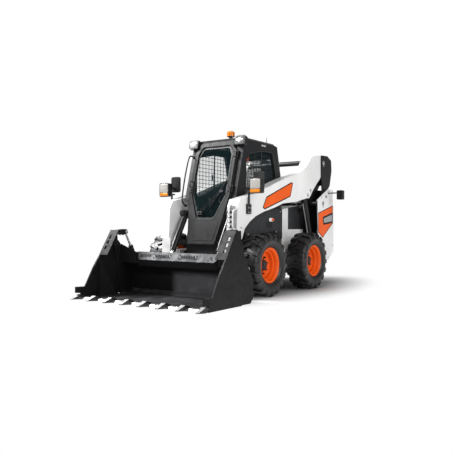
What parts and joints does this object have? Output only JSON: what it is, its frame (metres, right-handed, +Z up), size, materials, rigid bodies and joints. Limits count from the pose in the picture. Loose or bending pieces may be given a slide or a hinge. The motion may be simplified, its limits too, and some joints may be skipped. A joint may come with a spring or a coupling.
{
  "type": "skid steer loader",
  "caption": "Wheeled skid steer loader with vertical-lift arms, closed cab and combination clam bucket.",
  "frame": {"origin": "on the ground under the middle of the overall length and width", "axes": "+X forward, +Y to the machine's left, +Z up"},
  "size_m": [4.129, 2.032, 2.31],
  "materials": {
    "dark_paint": "dark grey satin paint",
    "white_paint": "white gloss paint",
    "black_paint": "black satin paint",
    "cab_paint": "charcoal satin paint",
    "orange_paint": "orange gloss paint",
    "black_plastic": "moulded black plastic",
    "glass": "blue-green tinted glass",
    "lamp_glass": "clear lamp lens",
    "amber_lens": "amber lens",
    "seat_fabric": "dark woven seat cloth",
    "cast": "cast engine block, painted dark",
    "steel": "worn bare steel",
    "chrome": "hard chrome rod",
    "tyre": "black tyre rubber"
  },
  "bodies": {
    "frame": {"main_frame": "dark_paint", "side_panels": "dark_paint", "rear_towers": "black_paint", "rear_bumper": "black_paint", "engine_block": "cast", "cab_frame": "cab_paint", "cab_roof": "black_plastic", "side_windows": "glass", "rear_window": "glass", "seat_base": "black_plastic", "seat_cushion": "seat_fabric", "control_levers": "black_plastic", "roof_lamps": "lamp_glass", "beacon": "amber_lens", "tower_skins": "white_paint", "rear_lamps": "black_plastic"},
    "rear_links": {"rear_links": "black_paint"},
    "arms": {"lift_arms": "white_paint", "lamp_stalks": "black_plastic", "head_lamps": "lamp_glass", "hose_coupler": "steel", "arm_legs": "white_paint"},
    "control_links": {"control_links": "black_paint"},
    "lift_barrels": {"lift_barrels": "black_paint"},
    "lift_rods": {"lift_rods": "chrome"},
    "quick_attach": {"quick_attach": "black_paint", "bucket_back": "black_paint"},
    "tilt_barrels": {"tilt_barrels": "black_paint"},
    "tilt_rods": {"tilt_rods": "chrome"},
    "clam": {"clam_shell": "black_paint", "cutting_edge": "steel", "bucket_teeth": "steel"},
    "clam_barrels": {"clam_barrels": "black_paint"},
    "clam_rods": {"clam_rods": "chrome"},
    "wheel_front_left": {"tyre_front_left": "tyre", "rim_front_left": "orange_paint"},
    "wheel_front_right": {"tyre_front_right": "tyre", "rim_front_right": "orange_paint"},
    "wheel_rear_left": {"tyre_rear_left": "tyre", "rim_rear_left": "orange_paint"},
    "wheel_rear_right": {"tyre_rear_right": "tyre", "rim_rear_right": "orange_paint"},
    "cab_door": {"door_frame": "cab_paint", "door_glass": "glass"},
    "tailgate": {"tailgate": "white_paint"},
    "rear_hood": {"rear_hood": "black_paint"}
  },
  "joints": [
    {"name": "lift", "type": "hinge", "parent": "rear_links", "child": "arms", "pos_m": [-1.7245, 0, 1.97], "axis": [0, -1, 0], "range_deg": [0, 82]},
    {"name": "rear_link_swing", "type": "hinge", "parent": "frame", "child": "rear_links", "pos_m": [-1.6245, 0, 1.3], "axis": [0, -1, 0], "range_deg": [-18.02, 0.02]},
    {"name": "control_link_swing", "type": "hinge", "parent": "frame", "child": "control_links", "pos_m": [-0.0063, 0, 1.19], "axis": [0, -1, 0], "range_deg": [-33.75, 0.02]},
    {"name": "lift_barrel_swing", "type": "hinge", "parent": "frame", "child": "lift_barrels", "pos_m": [-1.5645, 0, 0.44], "axis": [0, -1, 0], "range_deg": [-3.16, 0.02]},
    {"name": "lift_rod_slide", "type": "slide", "parent": "lift_barrels", "child": "lift_rods", "axis": [0.3532, 0, 0.9355], "range_m": [-0.0005, 0.88059]},
    {"name": "tilt", "type": "hinge", "parent": "arms", "child": "quick_attach", "pos_m": [0.8755, 0, 0.18], "axis": [0, -1, 0], "range_deg": [-105, 25]},
    {"name": "tilt_barrel_swing", "type": "hinge", "parent": "arms", "child": "tilt_barrels", "pos_m": [0.5405, 0, 1.11], "axis": [0, -1, 0], "range_deg": [-0.52, 2.12]},
    {"name": "tilt_rod_slide", "type": "slide", "parent": "tilt_barrels", "child": "tilt_rods", "axis": [0.4984, 0, -0.8669], "range_m": [-0.08777, 0.36702]},
    {"name": "clam_open", "type": "hinge", "parent": "quick_attach", "child": "clam", "pos_m": [1.3205, 0, 0.707], "axis": [0, -1, 0], "range_deg": [0, 60]},
    {"name": "clam_barrel_swing", "type": "hinge", "parent": "quick_attach", "child": "clam_barrels", "pos_m": [0.9905, 0, 0.41], "axis": [0, -1, 0], "range_deg": [-0.02, 0.10023]},
    {"name": "clam_rod_slide", "type": "slide", "parent": "clam_barrels", "child": "clam_rods", "axis": [0.4865, 0, 0.8737], "range_m": [-0.16685, 0.0005]},
    {"name": "wheel_front_left_spin", "type": "hinge", "parent": "frame", "child": "wheel_front_left", "pos_m": [0.3855, 0.7655, 0.4175], "axis": [0, 1, 0], "continuous": true},
    {"name": "wheel_front_right_spin", "type": "hinge", "parent": "frame", "child": "wheel_front_right", "pos_m": [0.3855, -0.7655, 0.4175], "axis": [0, 1, 0], "continuous": true},
    {"name": "wheel_rear_left_spin", "type": "hinge", "parent": "frame", "child": "wheel_rear_left", "pos_m": [-0.9145, 0.7655, 0.4175], "axis": [0, 1, 0], "continuous": true},
    {"name": "wheel_rear_right_spin", "type": "hinge", "parent": "frame", "child": "wheel_rear_right", "pos_m": [-0.9145, -0.7655, 0.4175], "axis": [0, 1, 0], "continuous": true},
    {"name": "door_swing", "type": "hinge", "parent": "frame", "child": "cab_door", "pos_m": [0.70881, 0.365, 0.6832], "axis": [-0.2601, 0, 0.9656], "range_deg": [0, 90]},
    {"name": "tailgate_swing", "type": "hinge", "parent": "frame", "child": "tailgate", "pos_m": [-2.0525, -0.708, 0.9], "axis": [0, 0, 1], "range_deg": [0, 95]},
    {"name": "hood_lift", "type": "hinge", "parent": "frame", "child": "rear_hood", "pos_m": [-1.3495, 0, 1.3], "axis": [0, 1, 0], "range_deg": [0, 35]}
  ],
  "couplings": [
    {"joint": "rear_link_swing", "follows": "lift", "ratio": -0.21951},
    {"joint": "control_link_swing", "follows": "lift", "ratio": -0.41131},
    {"joint": "lift_barrel_swing", "follows": "lift", "ratio": -0.038288},
    {"joint": "lift_rod_slide", "follows": "lift", "m_per_rad": 0.61495},
    {"joint": "tilt_barrel_swing", "follows": "tilt", "ratio": -0.02},
    {"joint": "tilt_rod_slide", "follows": "tilt", "m_per_rad": -0.2},
    {"joint": "clam_barrel_swing", "follows": "clam_open", "ratio": 0.001337},
    {"joint": "clam_rod_slide", "follows": "clam_open", "m_per_rad": -0.15886}
  ]
}
